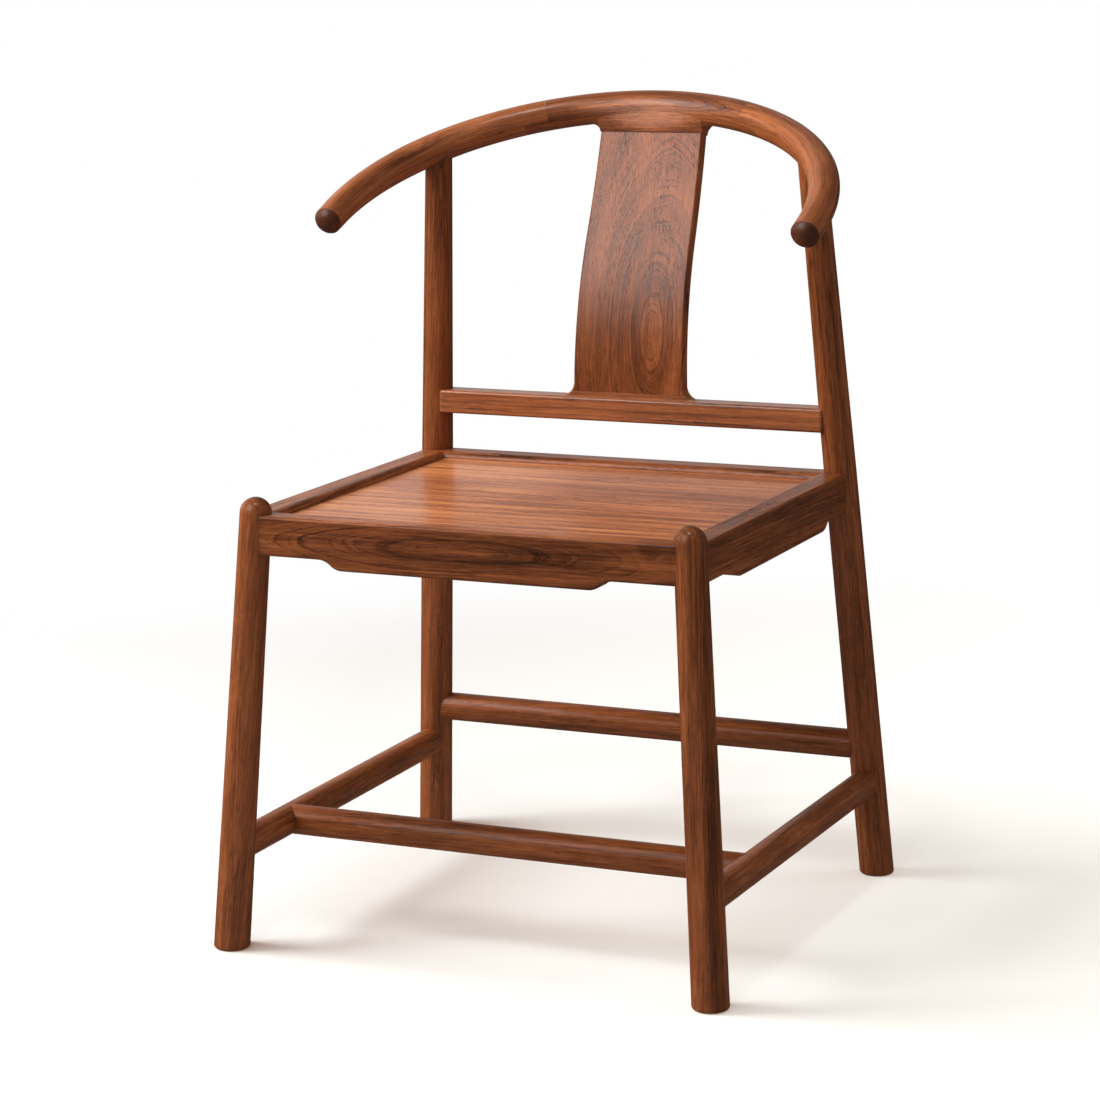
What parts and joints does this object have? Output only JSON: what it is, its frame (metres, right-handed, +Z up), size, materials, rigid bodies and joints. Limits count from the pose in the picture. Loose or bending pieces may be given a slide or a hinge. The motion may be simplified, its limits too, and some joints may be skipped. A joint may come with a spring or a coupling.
{
  "type": "horseshoe back armchair",
  "caption": "Wooden armchair with a tilted round horseshoe bow for arms and crest, an S-curved plank splat, a framed seat panel and splayed round legs.",
  "frame": {"origin": "on the floor, in the middle of the chair's width and depth", "axes": "+X to the right of someone in front of the chair, +Y from the sitter's front to the back, +Z up"},
  "size_m": [0.5612, 0.5478, 0.8262],
  "materials": {
    "turned_walnut": "satin oiled walnut, straight grain along the bar",
    "bow_walnut": "satin oiled walnut, grain following the bow, dark end grain",
    "splat_walnut": "satin oiled walnut, cathedral figure",
    "rail_walnut": "satin oiled walnut, grain along the rail",
    "panel_walnut": "satin oiled walnut, lighter, grain from side to side"
  },
  "bodies": {
    "root": {"front_leg_left": "turned_walnut", "front_leg_right": "turned_walnut", "rear_post_left": "turned_walnut", "rear_post_right": "turned_walnut", "crest_rail": "bow_walnut", "arm_left": "bow_walnut", "arm_right": "bow_walnut", "scarf_pin_left": "bow_walnut", "scarf_pin_right": "bow_walnut", "back_splat": "splat_walnut", "lower_back_rail": "rail_walnut", "front_rail": "rail_walnut", "back_rail": "rail_walnut", "side_rail_left": "rail_walnut", "side_rail_right": "rail_walnut", "seat_panel": "panel_walnut", "seat_batten_left": "rail_walnut", "seat_batten_right": "rail_walnut", "front_stretcher": "turned_walnut", "back_stretcher": "turned_walnut", "side_stretcher_left": "turned_walnut", "side_stretcher_right": "turned_walnut"}
  },
  "joints": []
}
